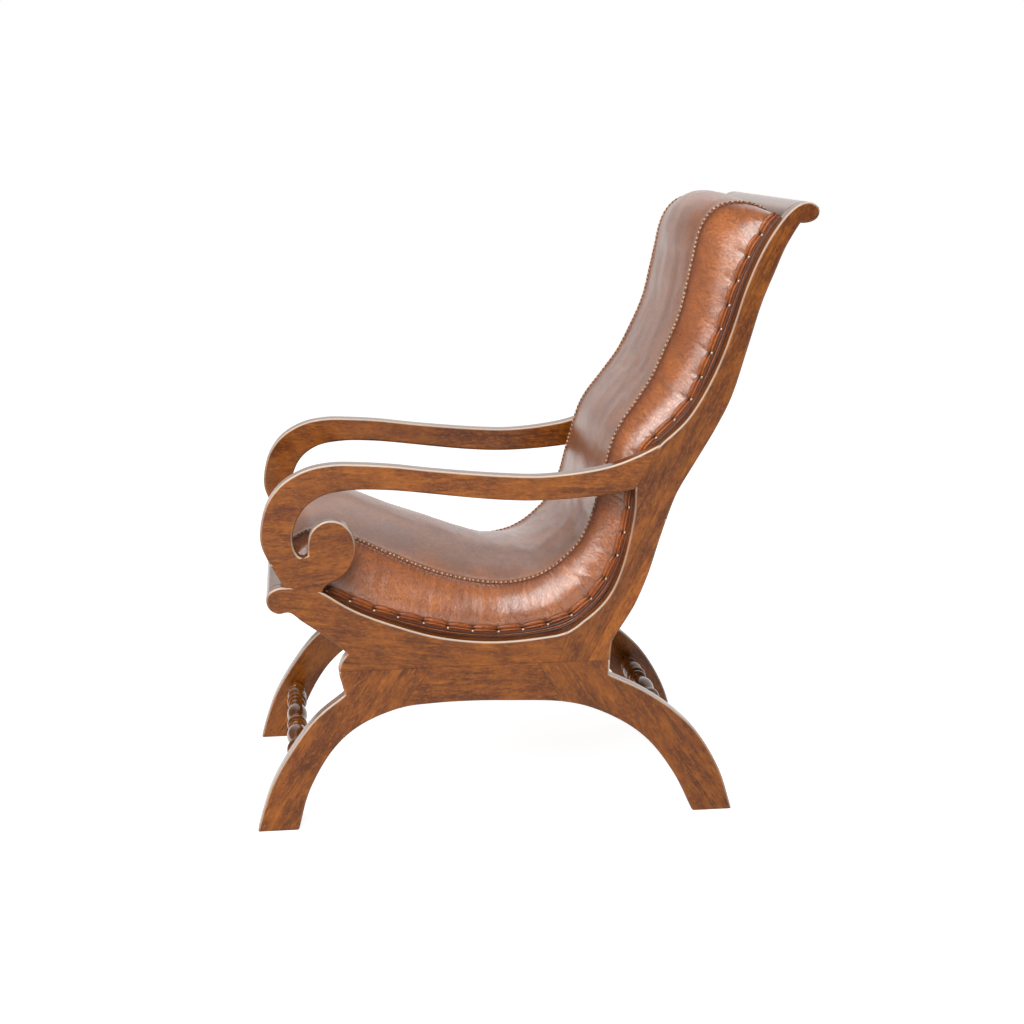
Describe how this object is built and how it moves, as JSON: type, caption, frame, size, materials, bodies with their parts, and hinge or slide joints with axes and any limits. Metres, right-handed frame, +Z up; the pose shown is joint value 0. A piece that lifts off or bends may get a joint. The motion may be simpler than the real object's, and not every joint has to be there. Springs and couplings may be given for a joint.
{
  "type": "lounge chair",
  "caption": "Low lounge chair with scrolled arms, arched board legs and a leather pad that runs as one curved sling from the front rail to the rolled crest.",
  "frame": {"origin": "on the floor, under the middle of the chair", "axes": "+Z up, the sitter faces -Y, +X is the sitter's left"},
  "size_m": [0.634, 0.9055, 0.9772],
  "materials": {
    "lacquered_hardwood": "stained hardwood under gloss lacquer",
    "cognac_leather": "semi-gloss pull-up leather",
    "dark_leather": "satin, darker hide for lacing and the back cover",
    "upholstery_foam": "plain upholstery foam",
    "dust_cloth": "thin black woven cloth"
  },
  "bodies": {
    "root": {"front_leg_left": "lacquered_hardwood", "front_leg_right": "lacquered_hardwood", "arch_block_left": "lacquered_hardwood", "arch_block_right": "lacquered_hardwood", "rear_leg_left": "lacquered_hardwood", "rear_leg_right": "lacquered_hardwood", "seat_rail_left": "lacquered_hardwood", "seat_rail_right": "lacquered_hardwood", "back_post_left": "lacquered_hardwood", "back_post_right": "lacquered_hardwood", "back_post_strip_left": "lacquered_hardwood", "back_post_strip_right": "lacquered_hardwood", "arm_left": "lacquered_hardwood", "arm_right": "lacquered_hardwood", "arm_scroll_left": "lacquered_hardwood", "arm_scroll_right": "lacquered_hardwood", "leg_to_rail_tenon_left": "lacquered_hardwood", "leg_to_rail_tenon_right": "lacquered_hardwood", "leg_to_arch_tenon_left": "lacquered_hardwood", "leg_to_arch_tenon_right": "lacquered_hardwood", "arch_to_rear_leg_tenon_left": "lacquered_hardwood", "arch_to_rear_leg_tenon_right": "lacquered_hardwood", "rail_to_post_tenon_left": "lacquered_hardwood", "rail_to_post_tenon_right": "lacquered_hardwood", "rear_leg_to_post_tenon_left": "lacquered_hardwood", "rear_leg_to_post_tenon_right": "lacquered_hardwood", "arm_to_post_tenon_left": "lacquered_hardwood", "arm_to_post_tenon_right": "lacquered_hardwood", "arm_to_scroll_tenon_left": "lacquered_hardwood", "arm_to_scroll_tenon_right": "lacquered_hardwood", "scroll_to_rail_tenon_left": "lacquered_hardwood", "scroll_to_rail_tenon_right": "lacquered_hardwood", "front_rail": "lacquered_hardwood", "front_rail_tenon_left": "lacquered_hardwood", "front_rail_tenon_right": "lacquered_hardwood", "crest_rail": "lacquered_hardwood", "crest_rail_tenon_left": "lacquered_hardwood", "crest_rail_tenon_right": "lacquered_hardwood", "seat_cross_rail_front": "lacquered_hardwood", "seat_cross_rail_rear": "lacquered_hardwood", "back_cross_rail_lower": "lacquered_hardwood", "back_cross_rail_upper": "lacquered_hardwood", "front_stretcher": "lacquered_hardwood", "rear_stretcher": "lacquered_hardwood", "seat_shell": "lacquered_hardwood", "foam_core": "upholstery_foam", "leather_top_panel": "cognac_leather", "leather_boxing_left": "cognac_leather", "leather_boxing_right": "cognac_leather", "lace_seam_left": "dark_leather", "lace_seam_right": "dark_leather", "nailed_welt_left": "cognac_leather", "nailed_welt_right": "cognac_leather", "dust_cover": "dust_cloth", "back_cover": "dark_leather"}
  },
  "joints": []
}
